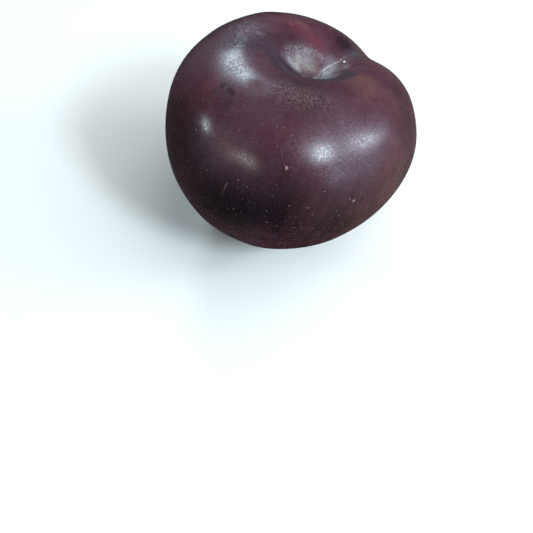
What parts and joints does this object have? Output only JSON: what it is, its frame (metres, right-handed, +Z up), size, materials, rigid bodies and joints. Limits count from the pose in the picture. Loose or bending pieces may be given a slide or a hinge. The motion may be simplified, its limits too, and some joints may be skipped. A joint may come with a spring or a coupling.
{
  "type": "plum",
  "caption": "Whole ripe plum with a deep stem cavity and a suture valley, lying on the small flat spot under its weight.",
  "frame": {"origin": "the centre of the flat spot that the plum rests on, straight below the point where the stem axis crosses the widest part of the fruit", "axes": "+Z up from the resting surface; the stem axis leans 23.5 degrees from +Z towards the middle of +X and +Y, and the suture runs down that side; -Y is the side seen in front"},
  "size_m": [0.0636, 0.0672, 0.0539],
  "materials": {
    "plum_skin": "smooth waxy skin, dark aubergine to deep red, satin shine under a patchy blue-grey bloom, with small pale lenticels"
  },
  "bodies": {
    "root": {"plum": "plum_skin"}
  },
  "joints": []
}
